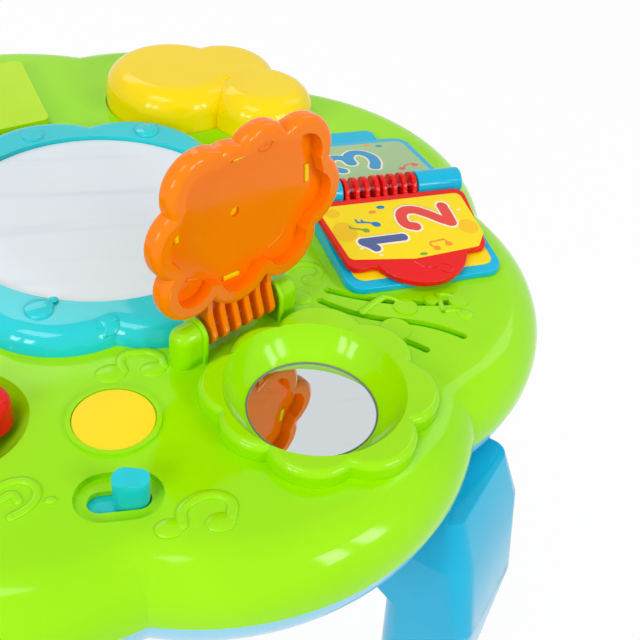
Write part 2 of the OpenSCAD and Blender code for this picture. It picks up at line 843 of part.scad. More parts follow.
module spinner_shaft() color("silver")
    dial_spot() translate([0, 0, -bowl_d - wall - 8]) cylinder(r = shaft_r, h = bowl_d + wall + 14);

module spinner_retainer() color("gainsboro") {
    dial_spot() difference() {
        union() {
            translate([0, 0, -bowl_d - wall - 2.2]) cylinder(r = 8, h = 2);
            translate([0, 0, -bowl_d - wall - 6]) cylinder(r = 5, h = 4);
        }
        translate([0, 0, -bowl_d - wall - 7]) cylinder(r = shaft_r, h = 8);
    }
}

// ---------- keys ----------

key_pin_at = key_r0 + 6;
key_pin_z = -12;
key_pin_r = 1.5;
key_top_in = key_r0 + 0.6;
key_top_out = key_r1 - 0.6;
key_c = 5;
key_wall = 2.2;
plunger_at = key_r1 - 18;
strip_w = 18;

// Frame of key i: X outward along the key
module key_spot(i) at_surface() rotate([0, 0, key_a0 + (i + 0.5) * key_pitch]) children();

// Corner centres of a key cap, g inside its outline
function key_points(g) =
    let (a = key_pitch / 2, side = gap + key_c + g,
        x0 = key_top_in + key_c + g, x1 = (key_top_out - key_c) * cos(a) - g + 1.5)
    [
        [x0, -x0 * tan(a) + side / cos(a)], [x1, -x1 * tan(a) + side / cos(a)],
        [x1, x1 * tan(a) - side / cos(a)], [x0, x0 * tan(a) - side / cos(a)]
    ];

module key(i) {
    key_spot(i) difference() {
        union() {
            difference() {
                translate([0, 0, -6]) rounded(key_points(0), key_c, key_h + 6);
                translate([0, 0, -7]) rounded(key_points(key_wall), key_c, key_h + 7 - key_wall);
            }
            // lug on the pin
            translate([key_pin_at - 5, -4, key_pin_z]) cube([10, 8, key_h - key_pin_z - 1]);
            translate([key_pin_at, 4, key_pin_z]) rotate([90, 0, 0]) cylinder(r = 5, h = 8);
            // plunger
            translate([plunger_at, 0, key_pin_z - 2]) cylinder(r = 4, h = key_h - key_pin_z + 1);
        }
        translate([key_pin_at, 10, key_pin_z]) rotate([90, 0, 0]) cylinder(r = key_pin_r + 0.05, h = 20);
    }
}

module key_lime() color(lime) key(0);
module key_red() color(cherry) key(1);
module key_yellow() color(sun) key(2);
module key_blue() color(blue) key(3);

module key_pins() color("silver") {
    for (i = [0 : key_n - 1])
        key_spot(i) translate([key_pin_at, 9, key_pin_z])
            rotate([90, 0, 0]) cylinder(r = key_pin_r, h = 18);
}

contact_z = -22;

module key_frame() color("gainsboro") {
    bed_r0 = key_pin_at - 8;
    bed_r1 = key_r1 - 8;
    for (i = [0 : key_n - 1])
        key_spot(i) difference() {
            for (y = [-9.5, 5])
                translate([key_pin_at - 4, y, contact_z - 3]) cube([8, 4.5, key_pin_z - contact_z + 6]);
            translate([key_pin_at, 10, key_pin_z])
                rotate([90, 0, 0]) cylinder(r = key_pin_r + 0.03, h = 20);
        }
    at_surface() {
        rotate([0, 0, key_a0 + 3]) translate([0, 0, contact_z - 4])
            rotate_extrude(angle = key_n * key_pitch - 6)
                translate([bed_r0, 0]) square([bed_r1 - bed_r0, 3]);
        for (a = [key_a0 + 8, key_a1 - 8], d = [key_pin_at + 6, plunger_at])
            rotate([0, 0, a]) translate([d, 0, floor_in]) cylinder(r = 5, h = contact_z - 2 - floor_in);
    }
}

module key_contact_strip() color("dimgray") {
    at_surface() rotate([0, 0, key_a0 + 5]) translate([0, 0, contact_z - 1])
        rotate_extrude(angle = key_n * key_pitch - 10)
            translate([plunger_at - strip_w / 2, 0]) square([strip_w, 1.6]);
    for (i = [0 : key_n - 1])
        key_spot(i) translate([plunger_at, 0, contact_z]) cylinder(r1 = 6, r2 = 4.5, h = 3);
}

// ---------- drum ----------

drum_c = [-4, 3];
sleeve_z = -30;
sleeve_h = 36;
drum_feet = [[46, 15], [10, 38], [-14, 18], [0, -26]];

module drum_spot() station(drum_a, drum_at) children();

function shrunk(spots, g) = [for (s = spots) [s[0], s[1], s[2] - g]];

module drum() color(sun) {
    drum_spot() {
        difference() {
            union() {
                translate([0, 0, -5]) pucks(drum_spots, drum_h + 5, drum_edge);
                translate([0, 0, -5]) cans(drum_spots, 2, 3);
            }
            translate([0, 0, -6]) pucks(shrunk(drum_spots, wall), drum_h + 6 - wall, drum_edge - wall);
        }
        // hub that slides in the sleeve
        translate([drum_c[0], drum_c[1], sleeve_z + 2]) cylinder(r = 6, h = drum_h - sleeve_z - wall - 1);
        translate([drum_c[0], drum_c[1], -8]) cylinder(r = 14, h = drum_h + 8 - wall / 2);
    }
}

module drum_base() color("gainsboro") {
    drum_spot() difference() {
        union() {
            translate([0, 0, sleeve_z - 3]) cans(shrunk(drum_spots, 10), 3);
            translate([drum_c[0], drum_c[1], sleeve_z - sleeve_h / 2]) cylinder(r = 9, h = sleeve_h);
            for (p = drum_feet)
                translate([p[0], p[1], floor_in]) cylinder(r = 5, h = sleeve_z - 2 - floor_in);
        }
        translate([drum_c[0], drum_c[1], sleeve_z - 30]) cylinder(r = 6.05, h = 60);
    }
}

// A coil of half rings, tilted in turn
module drum_spring() color("silver") {
    ring = 11.5;
    wire = 0.9;
    turns = 5;
    rise = (-8 - sleeve_z - 2 * wire) / (2 * turns);
    tilt = atan(rise / (2 * ring));
    drum_spot() translate([drum_c[0], drum_c[1], sleeve_z + wire])
        for (i = [0 : 2 * turns - 1])
            translate([0, 0, (i + 0.5) * rise]) rotate([0, 0, i * 180]) {
                rotate([0, tilt, 0]) rotate_extrude(angle = 180)
                    translate([ring, 0]) circle(wire, $fn = 24);
                if (i > 0) translate([ring, 0, -rise / 2]) sphere(wire + 0.15, $fn = 24);
            }
}

module drum_light() color("seagreen") {
    drum_spot() translate([34, 18, sleeve_z]) {
        translate([-12, -9, 0]) cube([24, 18, 1.6]);
        for (x = [-7, 0, 7]) translate([x, 0, 1.4]) {
            cylinder(r = 2.5, h = 6);
            translate([0, 0, 6]) sphere(r = 2.5, $fn = 32);
        }
    }
}

// ---------- roller ----------

module roller_spot() station(roller_a, roller_at) translate([0, 0, roller_z]) children();

module roller() color(cherry) {
    roller_spot() translate([-roller_l / 2, 0, 0]) rotate([0, 90, 0]) difference() {
        union() {
            cylinder(r = roller_r - 2, h = roller_l);
            for (x = [0, roller_l / 2 - 2, roller_l - 4])
                translate([0, 0, x]) cylinder(r = roller_r, h = 4);
            for (i = [0 : 9])
                rotate([0, 0, i * 36]) translate([roller_r - 3, 0, 1]) cylinder(r = 2.6, h = roller_l - 2);
        }
        translate([0, 0, -1]) cylinder(r = axle_r + 0.05, h = roller_l + 2);
    }
}

module roller_axle() color("silver")
    roller_spot() translate([-cradle_x - 4, 0, 0])
        rotate([0, 90, 0]) cylinder(r = axle_r, h = 2 * cradle_x + 8);

module roller_cradle() color("gainsboro") {
    base_z = floor_in - roller_z;
    roller_spot() difference() {
        union() {
            for (s = [-1, 1])
                translate([s > 0 ? cradle_x : -cradle_x - 3, -12, base_z]) cube([3, 24, 6 - base_z]);
            translate([-cradle_x - 3, -15, base_z]) cube([2 * cradle_x + 6, 30, 3]);
        }
        translate([-60, 0, 0]) rotate([0, 90, 0]) cylinder(r = axle_r + 0.03, h = 120);
    }
}

// ---------- electronics ----------

module speaker() color("dimgray") {
    at_surface() translate([speaker_x, speaker_y, 0]) rotate_extrude() polygon([
        [0, -24], [14, -24], [14, -15], [speaker_r - 2, -7], [speaker_r, -7], [speaker_r, -wall - 0.2],
        [speaker_r - 3, -wall - 0.2], [speaker_r - 3, -5], [9, -13], [0, -11.5]
    ]);
}

module battery_box() color("gainsboro") {
    at_surface() {
        difference() {
            translate([-door_l / 2 - 2, -door_w / 2 - 2, floor_in]) cube([door_l + 4, door_w + 4, box_h]);
            translate([-door_l / 2, -door_w / 2, floor_in - 1]) cube([door_l, door_w, box_h - 1]);
        }
        difference() {
            translate([door_l / 2 - 4.5, 0, floor_in + 0.4]) cylinder(r = 3.4, h = box_h - 1);
            translate([door_l / 2 - 4.5, 0, floor_in - 1]) cylinder(r = 1.3, h = 11);
        }
    }
}

module batteries() color("darkgoldenrod") {
    at_surface() for (i = [-1, 0, 1])
        translate([-32.5, i * 14.6, floor_in + 7.6]) rotate([0, 90, 0]) {
            cylinder(r = 7.1, h = 49);
            cylinder(r = 2.7, h = 50.5);
        }
}

module battery_door() color(sky) {
    at_surface() difference() {
        translate([-door_l / 2 + 0.3, -door_w / 2 + 0.3, belly_z]) cube([door_l - 0.6, door_w - 0.6, wall]);
        translate([door_l / 2 - 4.5, 0, belly_z - 1]) cylinder(r = 1.5, h = 9);
        translate([door_l / 2 - 4.5, 0, belly_z - 1]) cylinder(r = 2.9, h = 2.2);
    }
}

module door_screw() color("silver") {
    at_surface() translate([door_l / 2 - 4.5, 0, belly_z]) difference() {
        union() {
            cylinder(r = 2.6, h = 1.2);
            cylinder(r = 1.2, h = 11);
        }
        translate([-1.6, -0.3, -1]) cube([3.2, 0.6, 1.6]);
        translate([-0.3, -1.6, -1]) cube([0.6, 3.2, 1.6]);
    }
}

module circuit_board() color("seagreen") {
    at_surface() translate([0, 0, pcb_z]) {
        translate([-44, -30, 0]) cube([88, 60, 1.6]);
        for (x = [-32, 32], y = [-20, 20])
            translate([x, y, floor_in + box_h - pcb_z]) cylinder(r = 3, h = pcb_z - floor_in - box_h + 0.4);
        translate([-10, -10, 1.4]) cube([20, 20, 2.4]);
        translate([18, -14, 1.4]) cylinder(r = 4, h = 9);
        translate([-30, 8, 1.4]) cube([12, 9, 6]);
        translate([22, 8, 1.4]) cube([10, 12, 3]);
    }
}

module shell_screws() color("silver") {
    for (i = [0 : petals - 1])
        at_surface() rotate([0, 0, (i + 0.5) * 360 / petals])
            translate([boss_at, 0, belly_z + 14]) difference() {
                union() {
                    translate([0, 0, -2.4]) cylinder(r = 3.2, h = 2.4);
                    translate([0, 0, -0.5]) cylinder(r = 1.25, h = 30);
                }
                translate([-2, -0.4, -3]) cube([4, 0.8, 1.4]);
                translate([-0.4, -2, -3]) cube([0.8, 4, 1.4]);
            }
}

top_shell();
bottom_shell();
leg_front_right();
leg_back_right();
leg_back_left();
leg_front_left();
foot_pads();
board_frame();
writing_board();
board_backing();
mirror_frame();
mirror();
hinge_posts();
lid();
lid_face();
lid_pin();
book_tray();
tray_label_front();
tray_label_back();
book_spine();
book_pin();
book_page();
page_label_front();
page_label_back();
badge();
switch_knob();
slide_switch();
red_spinner();
spinner_shaft();
spinner_retainer();
key_lime();
key_red();
key_yellow();
key_blue();
key_frame();
key_pins();
key_contact_strip();
drum();
drum_base();
drum_spring();
roller();
roller_axle();
roller_cradle();
speaker();
circuit_board();
drum_light();
battery_box();
batteries();
battery_door();
door_screw();
shell_screws();
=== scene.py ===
# %% [markdown]
# # A musical activity table for small children
# The table is a petal-edged green top on four blue legs, with a drawing board, a mirror under a
# flower lid, a number book, a switch, a spinner, piano keys and a drum.
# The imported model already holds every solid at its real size. This lesson gives the solids their
# moulded edges and glossy plastics, and adds the prints and raised notes that are too fine for
# them.

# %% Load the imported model
import json
from math import cos, pi, radians, sin

import bpy
from mathutils import Matrix, Vector


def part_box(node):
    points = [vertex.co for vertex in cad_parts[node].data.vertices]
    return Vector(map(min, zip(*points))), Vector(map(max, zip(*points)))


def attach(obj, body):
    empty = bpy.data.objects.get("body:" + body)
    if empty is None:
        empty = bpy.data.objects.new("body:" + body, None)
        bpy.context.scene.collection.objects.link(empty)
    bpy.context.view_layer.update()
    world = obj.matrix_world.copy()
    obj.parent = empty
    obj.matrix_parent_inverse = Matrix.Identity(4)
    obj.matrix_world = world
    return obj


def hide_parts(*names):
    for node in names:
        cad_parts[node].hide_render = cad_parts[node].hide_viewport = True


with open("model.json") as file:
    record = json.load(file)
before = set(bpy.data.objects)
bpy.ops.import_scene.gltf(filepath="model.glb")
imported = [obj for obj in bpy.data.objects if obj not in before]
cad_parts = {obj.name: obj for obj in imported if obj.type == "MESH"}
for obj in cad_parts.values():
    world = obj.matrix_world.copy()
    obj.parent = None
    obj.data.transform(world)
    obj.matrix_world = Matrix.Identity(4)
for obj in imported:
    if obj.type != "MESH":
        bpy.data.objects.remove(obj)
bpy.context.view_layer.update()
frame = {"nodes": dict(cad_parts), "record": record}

NODES = frame["nodes"]

# %% [markdown]
# ## The shared places
# The white board is the middle of the table, so the centre of its box fixes the frame of the whole
# top. All the places below are counted from that centre, on the play surface.

# %% Centre of the play surface
MM = 0.001
BOARD_LOW, BOARD_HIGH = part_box("writing_board")
PLAY_Z = 300 * MM
CENTRE = Vector(((BOARD_LOW.x + BOARD_HIGH.x) / 2, (BOARD_LOW.y + BOARD_HIGH.y) / 2, PLAY_Z))
print("centre of the play surface", [round(v, 4) for v in CENTRE])

# %% [markdown]
# ## The camera
# A catalogue picture of such a table is taken close to it and from above, with a normal lens. The
# camera is given by its eye point, heading, downward tilt and a small roll. A matrix built from the
# three directions leaves no doubt about the order of the turns.

# %% Camera
LENS = 51.96
EYE = Vector((-14.09, -411.90, 288.52)) * MM
HEADING = radians(18.98)
TILT = radians(40.21)
ROLL = radians(-7.386)

forward = Vector((sin(HEADING) * cos(TILT), cos(HEADING) * cos(TILT), -sin(TILT)))
right = Vector((cos(HEADING), -sin(HEADING), 0))
down = forward.cross(right)
camera_x = cos(ROLL) * right + sin(ROLL) * down
camera_y = sin(ROLL) * right - cos(ROLL) * down
turn = Matrix((camera_x, camera_y, -forward)).transposed().to_4x4()

camera = bpy.data.objects.new("camera", bpy.data.cameras.new("camera"))
bpy.context.scene.collection.objects.link(camera)
camera.data.lens = LENS
camera.data.sensor_width = 36
camera.data.clip_start = 0.01
camera.matrix_world = Matrix.Translation(CENTRE + EYE) @ turn
bpy.context.scene.camera = camera
print("camera at", [round(v, 3) for v in camera.location])

# %% [markdown]
# ## Shader maths as plain expressions
# A material is a network of nodes. Writing each link by hand hides the idea, so one small class
# wraps an output socket: adding or multiplying two of them adds a Math node, and `1 - mask` works
# as it reads. Every other node comes from one method that takes its type, settings and inputs.

# %% The finish builder
class Signal:
    """An output socket that can be used in a sum."""

    def __init__(self, finish, socket):
        self.finish = finish
        self.socket = socket

    def maths(self, operation, *values):
        return self.finish.node("Math", {"operation": operation}, *values)

    def __add__(self, other):
        return self.maths("ADD", self, other)

    def __sub__(self, other):
        return self.maths("SUBTRACT", self, other)

    def __rsub__(self, other):
        return self.maths("SUBTRACT", other, self)

    def __mul__(self, other):
        return self.maths("MULTIPLY", self, other)

    __radd__ = __add__
    __rmul__ = __mul__

    def clamp(self):
        return self.finish.node("Clamp", {}, self)


class Finish:
    """A material or world that is built up from nodes."""

    def __init__(self, name, owner=None):
        self.material = owner or bpy.data.materials.new(name)
        self.material.use_nodes = True
        self.nodes = self.material.node_tree.nodes
        self.links = self.material.node_tree.links
        if owner is None:
            self.shader = self.nodes["Principled BSDF"]
            self.place = self.node("TexCoord", {}, out="Object")

    def node(self, kind, settings, *inputs, out=0, **named):
        """Adds a node: settings first, then its inputs in order, or by name."""
        node = self.nodes.new("ShaderNode" + kind)
        for name, value in settings.items():
            if name == "stops":
                self.set_stops(node.color_ramp, value)
            else:
                setattr(node, name, value)
        shown = [socket for socket in node.inputs if socket.enabled]
        for socket, value in zip(shown, inputs):
            self.feed(socket, value)
        for name, value in named.items():
            self.feed(node.inputs[name.replace("_", " ")], value)
        if isinstance(out, int):
            return Signal(self, [socket for socket in node.outputs if socket.enabled][out])
        return Signal(self, node.outputs[out])

    def set_stops(self, ramp, stops):
        while len(ramp.elements) < len(stops):
            ramp.elements.new(0.5)
        for element, (place, value) in zip(ramp.elements, stops):
            element.position = place
            element.color = (value, value, value, 1)

    def feed(self, socket, value):
        if isinstance(value, Signal):
            self.links.new(value.socket, socket)
        elif value is not None:
            socket.default_value = value

    def noise(self, scale, detail=2, stretch=None):
        """Smooth noise from 0 to 1 with about `scale` blobs to the metre."""
        place = self.place
        if stretch:
            place = self.node("Mapping", {}, place, Scale=stretch)
        return self.node("TexNoise", {}, Vector=place, Scale=scale, Detail=detail, out="Fac")

    def ramp(self, value, *stops):
        return self.node("ValToRGB", {"stops": stops}, value)

    def mix(self, first, second, amount):
        """A colour between two colours."""
        settings = {"data_type": "RGBA"}
        return self.node("Mix", settings, amount, first, second)

    def shade(self, **values):
        """Feeds the shader's own sockets."""
        for name, value in values.items():
            self.feed(self.shader.inputs[name.replace("_", " ")], value)

    def bump(self, height, strength, distance):
        return self.node("Bump", {}, Strength=strength, Distance=distance, Height=height)


def paint(red, green, blue):
    """A screen colour, 0 to 255, as the shader's linear colour."""
    linear = [(v / 255 / 12.92) if v <= 10 else ((v / 255 + 0.055) / 1.055) ** 2.4
              for v in (red, green, blue)]
    return (*linear, 1)


print("finish builder ready")

# %% [markdown]
# ## Moulded plastic
# Toy shells are ABS moulded in a polished tool: strong even colour, a clear highlight, and only
# faint marks. Three things keep it from looking like paint: the colour drifts a little where the
# wall is thicker, the polish varies with handling, and the surface swims very slightly because the
# plastic shrinks as it cools. All three are noises on the object's own coordinates.

# %% Plastics
def moulded(name, colour, deep, rough=0.1, coat=0.1, swim=0.2):
    """Glossy moulded plastic that drifts from colour to deep."""
    finish = Finish(name)
    drift = finish.ramp(finish.noise(14, 2), (0.35, 0), (0.7, 1))
    speck = finish.ramp(finish.noise(900, 1), (0.66, 0), (0.74, 1))
    rubbed = finish.ramp(finish.noise(60, 4, stretch=(1, 3.5, 1)), (0.45, 0), (0.75, 1))
    tone = finish.mix(colour, deep, drift * 0.45 + speck * 0.06)
    finish.shade(Base_Color=tone, Roughness=rubbed * 0.08 + rough + speck * 0.03)
    finish.shade(Coat_Weight=coat, Coat_Roughness=0.04, Specular_IOR_Level=0.16)
    ripple = finish.noise(55, 1) + finish.noise(1100, 1) * 0.04
    finish.shade(Normal=finish.bump(ripple, swim, 0.0006))
    return finish.material


def matte(name, colour, deep, rough=0.55):
    """Plain moulded plastic of inner pieces, with the fine grain of a spark-eroded tool."""
    finish = Finish(name)
    grain = finish.noise(1500, 2)
    tone = finish.mix(colour, deep, finish.noise(25, 3) * 0.6)
    finish.shade(Base_Color=tone, Roughness=grain * 0.15 + rough)
    finish.shade(Normal=finish.bump(grain, 0.4, 0.0002))
    return finish.material


PLASTICS = {
    "green_plastic": moulded("green plastic", paint(158, 230, 0), paint(142, 220, 0)),
    "lime_plastic": moulded("lime plastic", paint(192, 236, 0), paint(176, 226, 0)),
    "aqua_plastic": moulded("aqua plastic", paint(30, 206, 214), paint(8, 192, 206), rough=0.08,
                            coat=0.3),
    "blue_plastic": moulded("blue plastic", paint(10, 184, 222), paint(0, 168, 212)),
    "pale_blue_plastic": moulded("pale blue plastic", paint(150, 212, 236), paint(136, 202, 230)),
    "orange_plastic": moulded("orange plastic", paint(255, 132, 0), paint(255, 118, 0)),
    "yellow_plastic": moulded("yellow plastic", paint(252, 220, 0), paint(246, 208, 0)),
    "red_plastic": moulded("red plastic", paint(236, 24, 20), paint(218, 8, 8)),
    "inner_plastic": matte("inner plastic", paint(226, 226, 220), paint(206, 206, 200)),
    "black_plastic": matte("black plastic", paint(52, 52, 56), paint(34, 34, 38)),
    "board_green": matte("circuit board green", paint(26, 110, 66), paint(14, 88, 52), rough=0.4),
    "battery": matte("battery sleeve", paint(198, 168, 96), paint(170, 140, 70), rough=0.35),
    "rubber": matte("rubber", paint(70, 70, 74), paint(50, 50, 54), rough=0.75),
}
print(len(PLASTICS), "plastics")

# %% [markdown]
# ## Metal, mirror, board and film
# Plated steel gets fine turning marks in its roughness. The mirror is an almost perfect reflector
# with a few wipe marks. The writing board is a white film with faint horizontal streaks left by the
# wiping cloth, and the labels are printed film with a slight orange peel.

# %% Other finishes
def steel(name):
    finish = Finish(name)
    marks = finish.noise(2200, 2, stretch=(1, 1, 0.05))
    finish.shade(Base_Color=finish.mix(paint(205, 207, 210), paint(176, 180, 186), marks))
    finish.shade(Metallic=1.0, Roughness=marks * 0.2 + 0.16)
    return finish.material


def looking_glass(name):
    finish = Finish(name)
    wipes = finish.ramp(finish.noise(40, 4, stretch=(1, 5, 1)), (0.55, 0), (0.8, 1))
    finish.shade(Base_Color=finish.mix(paint(208, 214, 216), paint(200, 208, 212), wipes))
    finish.shade(Metallic=1.0, Roughness=wipes * 0.03 + 0.015)
    return finish.material


def film(name, colour, deep, rough=0.28, streak=0.0):
    finish = Finish(name)
    cloth = finish.ramp(finish.noise(60, 3, stretch=(0.12, 1.6, 1)), (0.55, 0), (0.72, 1))
    soft = finish.noise(18, 3)
    finish.shade(Base_Color=finish.mix(colour, deep, (soft * 0.6 + cloth * streak).clamp()))
    finish.shade(Roughness=cloth * 0.12 + rough, Coat_Weight=0.1, Coat_Roughness=0.1)
    finish.shade(Specular_IOR_Level=0.25)
    finish.shade(Normal=finish.bump(finish.noise(700, 2), 0.12, 0.0002))
    return finish.material


FINISHES = dict(PLASTICS)
FINISHES["steel"] = steel("plated steel")
FINISHES["mirror"] = looking_glass("looking glass")
FINISHES["board_white"] = film("writing film", paint(228, 235, 240), paint(214, 223, 231),
                              streak=0.5)
FINISHES["yellow_label"] = film("yellow film", paint(250, 222, 0), paint(244, 212, 0))
FINISHES["green_label"] = film("pale green film", paint(166, 200, 142), paint(150, 190, 130))
print(len(FINISHES), "finishes")

# %% [markdown]
# ## Dress the solids
# Each solid keeps its shape and takes the finish of its slot. A moulded edge is never a razor: it
# catches a thin line of light. So each solid also gets live modifiers that weld its loose
# triangles, dissolve the flat ones and round its edges by a fraction of a millimetre.

# %% Finish and soft edges of every solid
SLOT_OF = {part["node"]: part["material_slot"] for part in frame["record"]["subparts"]}
EDGE = 0.5
WIDE_EDGES = {
    "lid": 0.8, "book_spine": 1.4, "book_tray": 1.6, "mirror_frame": 1.2, "book_page": 0.7,
    "top_shell": 0.8, **{f"key_{colour}": 0.9 for colour in ("lime", "red", "yellow", "blue")},
    **{f"leg_{corner}": 2.9 for corner in ("front_right", "front_left", "back_right", "back_left")},
}


def soften(piece, width, angle=32):
    """Rounds a solid's edges, in millimetres, with live modifiers; its vertices stay."""
    for polygon in piece.data.polygons:
        polygon.use_smooth = True
    weld = piece.modifiers.new("weld", "WELD")
    weld.merge_threshold = 0.000002
    flat = piece.modifiers.new("flat", "DECIMATE")
    flat.decimate_type = "DISSOLVE"
    flat.angle_limit = radians(1.5)
    rounding = piece.modifiers.new("rounding", "BEVEL")
    rounding.width = width * MM
    rounding.segments = 2
    rounding.limit_method = "ANGLE"
    rounding.angle_limit = radians(angle)
    rounding.harden_normals = False
    rounding.miter_outer = "MITER_ARC"
    rounding.use_clamp_overlap = True
    normals = piece.modifiers.new("normals", "WEIGHTED_NORMAL")
    normals.keep_sharp = True
    normals.weight = 90


for name, node in NODES.items():
    node.data.materials.clear()
    node.data.materials.append(FINISHES[SLOT_OF[name]])
    soften(node, WIDE_EDGES.get(name, EDGE))
print("dressed", len(NODES), "solids")

# %% [markdown]
# ## Prints and raised marks
# The play stations are marked with music notes, either moulded into the plastic or printed on the
# stickers. Both are made the same way. A curve with a round section is turned into a mesh and
# pressed flat, which gives a stroke with soft sides; a sphere pressed flat gives a note's head or a
# stroke's round end. The strokes and heads of one mark are joined, and the hidden lower half is cut
# away. A thickness of a few hundredths makes a print, and one millimetre makes a raised mark.

# %% Places of the stations
def turn_about(axis, angle):
    return Matrix.Rotation(radians(angle), 4, axis)


def shift(x, y, z):
    return Matrix.Translation((x * MM, y * MM, z * MM))


TOP = Matrix.Translation(CENTRE)
BOOK = TOP @ shift(158, 0, 0) @ turn_about("Z", 5)
PAGE = BOOK @ shift(0, 0, 15) @ turn_about("X", 7) @ shift(0, 0, 2.0)
FAR_PAGE = BOOK @ shift(0, 0, 12.2) @ turn_about("X", -7) @ shift(0, 0, 0.3)
MIRROR_SPOT = TOP @ turn_about("Z", -60) @ shift(162, 0, 0) @ turn_about("Z", 90)
print("stations placed")


# %% Selecting and joining
def only(piece):
    """Makes a piece the only one selected."""
    bpy.ops.object.select_all(action="DESELECT")
    piece.select_set(True)
    bpy.context.view_layer.objects.active = piece


def joined(parts, name):
    """Joins parts into one named piece."""
    only(parts[0])
    for part in parts:
        part.select_set(True)
    if len(parts) > 1:
        bpy.ops.object.join()
    piece = bpy.context.object
    piece.name = name
    return piece


def dress(piece, body, finish):
    """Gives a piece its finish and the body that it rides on."""
    piece.data.materials.clear()
    piece.data.materials.append(finish)
    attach(piece, body)


def all_normals_out():
    """Turns the faces of the active piece outwards, from edit mode."""
    bpy.ops.mesh.select_all(action="SELECT")
    bpy.ops.mesh.normals_make_consistent(inside=False)
    bpy.ops.object.mode_set(mode="OBJECT")


print("helpers ready")


# %% Strokes and heads
def stroke(points, width):
    """A smooth line of round section through points in millimetres."""
    line = bpy.data.curves.new("stroke", "CURVE")
    line.dimensions = "3D"
    line.bevel_depth = width / 2 * MM
    line.bevel_resolution = 4
    line.resolution_u = 10
    line.use_fill_caps = True
    spline = line.splines.new("BEZIER")
    spline.bezier_points.add(len(points) - 1)
    for knot, (x, y) in zip(spline.bezier_points, points):
        knot.co = (x * MM, y * MM, 0)
        knot.handle_left_type = knot.handle_right_type = "AUTO"
    piece = bpy.data.objects.new("stroke", line)
    bpy.context.scene.collection.objects.link(piece)
    only(piece)
    bpy.ops.object.convert(target="MESH")
    return bpy.context.object


def head(x, y, rx, ry=None, angle=0):
    """A ball pressed to an oval, in millimetres."""
    bpy.ops.mesh.primitive_uv_sphere_add(segments=36, ring_count=16, radius=rx * MM)
    ball = bpy.context.object
    pressed = Matrix.Scale((ry or rx) / rx, 4, (0, 1, 0))
    ball.data.transform(shift(x, y, 0) @ turn_about("Z", angle) @ pressed)
    return ball


def mark(name, strokes, heads, height, place, body, finish, width=1.2):
    """Joins strokes and heads, presses them to a height and puts them in place."""
    parts = [stroke(points, width) for points in strokes]
    ends = [point for points in strokes for point in (points[0], points[-1])]
    parts += [head(x, y, width / 2) for x, y in ends] + [head(*spot) for spot in heads]
    for part in parts:
        top = max(vertex.co.z for vertex in part.data.vertices)
        part.data.transform(Matrix.Scale(height * MM / top, 4, (0, 0, 1)))
    piece = joined(parts, name)
    bpy.ops.object.mode_set(mode="EDIT")
    bpy.ops.mesh.select_all(action="SELECT")
    bpy.ops.mesh.bisect(plane_co=(0, 0, -0.3 * height * MM), plane_no=(0, 0, 1), clear_inner=True)
    bpy.ops.mesh.select_all(action="SELECT")
    bpy.ops.mesh.faces_shade_smooth()
    bpy.ops.object.mode_set(mode="OBJECT")
    piece.data.transform(place)
    dress(piece, body, finish)


# %% [markdown]
# ## The numbers
# Each numeral, 1, 2 and 3, is drawn with a round pen. It lies on its side because a child sits on
# the near side. A wider and lower copy in cream under it makes the outline.

# %% Numerals
CREAM = film("cream print", paint(250, 240, 205), paint(244, 232, 190))
NUMERALS = {
    "one": ([[(8.6, 3.2), (8.6, 14), (8.6, 25.8)], [(8.2, 25.6), (5.5, 22.5), (3.2, 20.6)]], 6.0),
    "two": ([[(4.4, 25.5), (6.6, 29.6), (11.5, 30.6), (16.6, 28.2), (17.6, 22.6), (13.6, 15.6),
              (7.6, 9.0), (4.4, 4.6)], [(4.4, 4.2), (10, 3.9), (17.6, 3.9)]], 7.0),
    "three": ([[(5.5, 27.5), (10.5, 31.8), (18.5, 31.6), (23.6, 26.8), (21.5, 20.6), (14.5, 18.6)],
               [(14.5, 18.4), (23.5, 17.0), (28.2, 10.6), (24.0, 4.6), (14.5, 3.4),
                (6.5, 6.6)]], 7.4),
}
# name, bottom and left side on the page, colour, place and body
PRINTED = [
    ("two", 26.5, -40.0, film("red print", paint(232, 74, 64), paint(224, 62, 56)),
     PAGE, "page_body"),
    ("one", -5.9, -51.0, film("slate print", paint(84, 100, 152), paint(76, 92, 144)),
     PAGE, "page_body"),
    ("three", 11.5, 25.0, film("blue print", paint(0, 150, 204), paint(4, 138, 194)),
     FAR_PAGE, "table"),
]
for name, bottom, left, ink, place, body in PRINTED:
    lines, width = NUMERALS[name]
    lines = [[(bottom - v, left + u) for u, v in line] for line in lines]
    slot = "yellow_label" if body == "page_body" else "green_label"
    mark(f"numeral_{name}_outline", lines, [], 0.05, place, body, CREAM, width + 2.0)
    mark(f"numeral_{name}", lines, [], 0.09, place, body, ink, width)
print(len(PRINTED), "numerals")
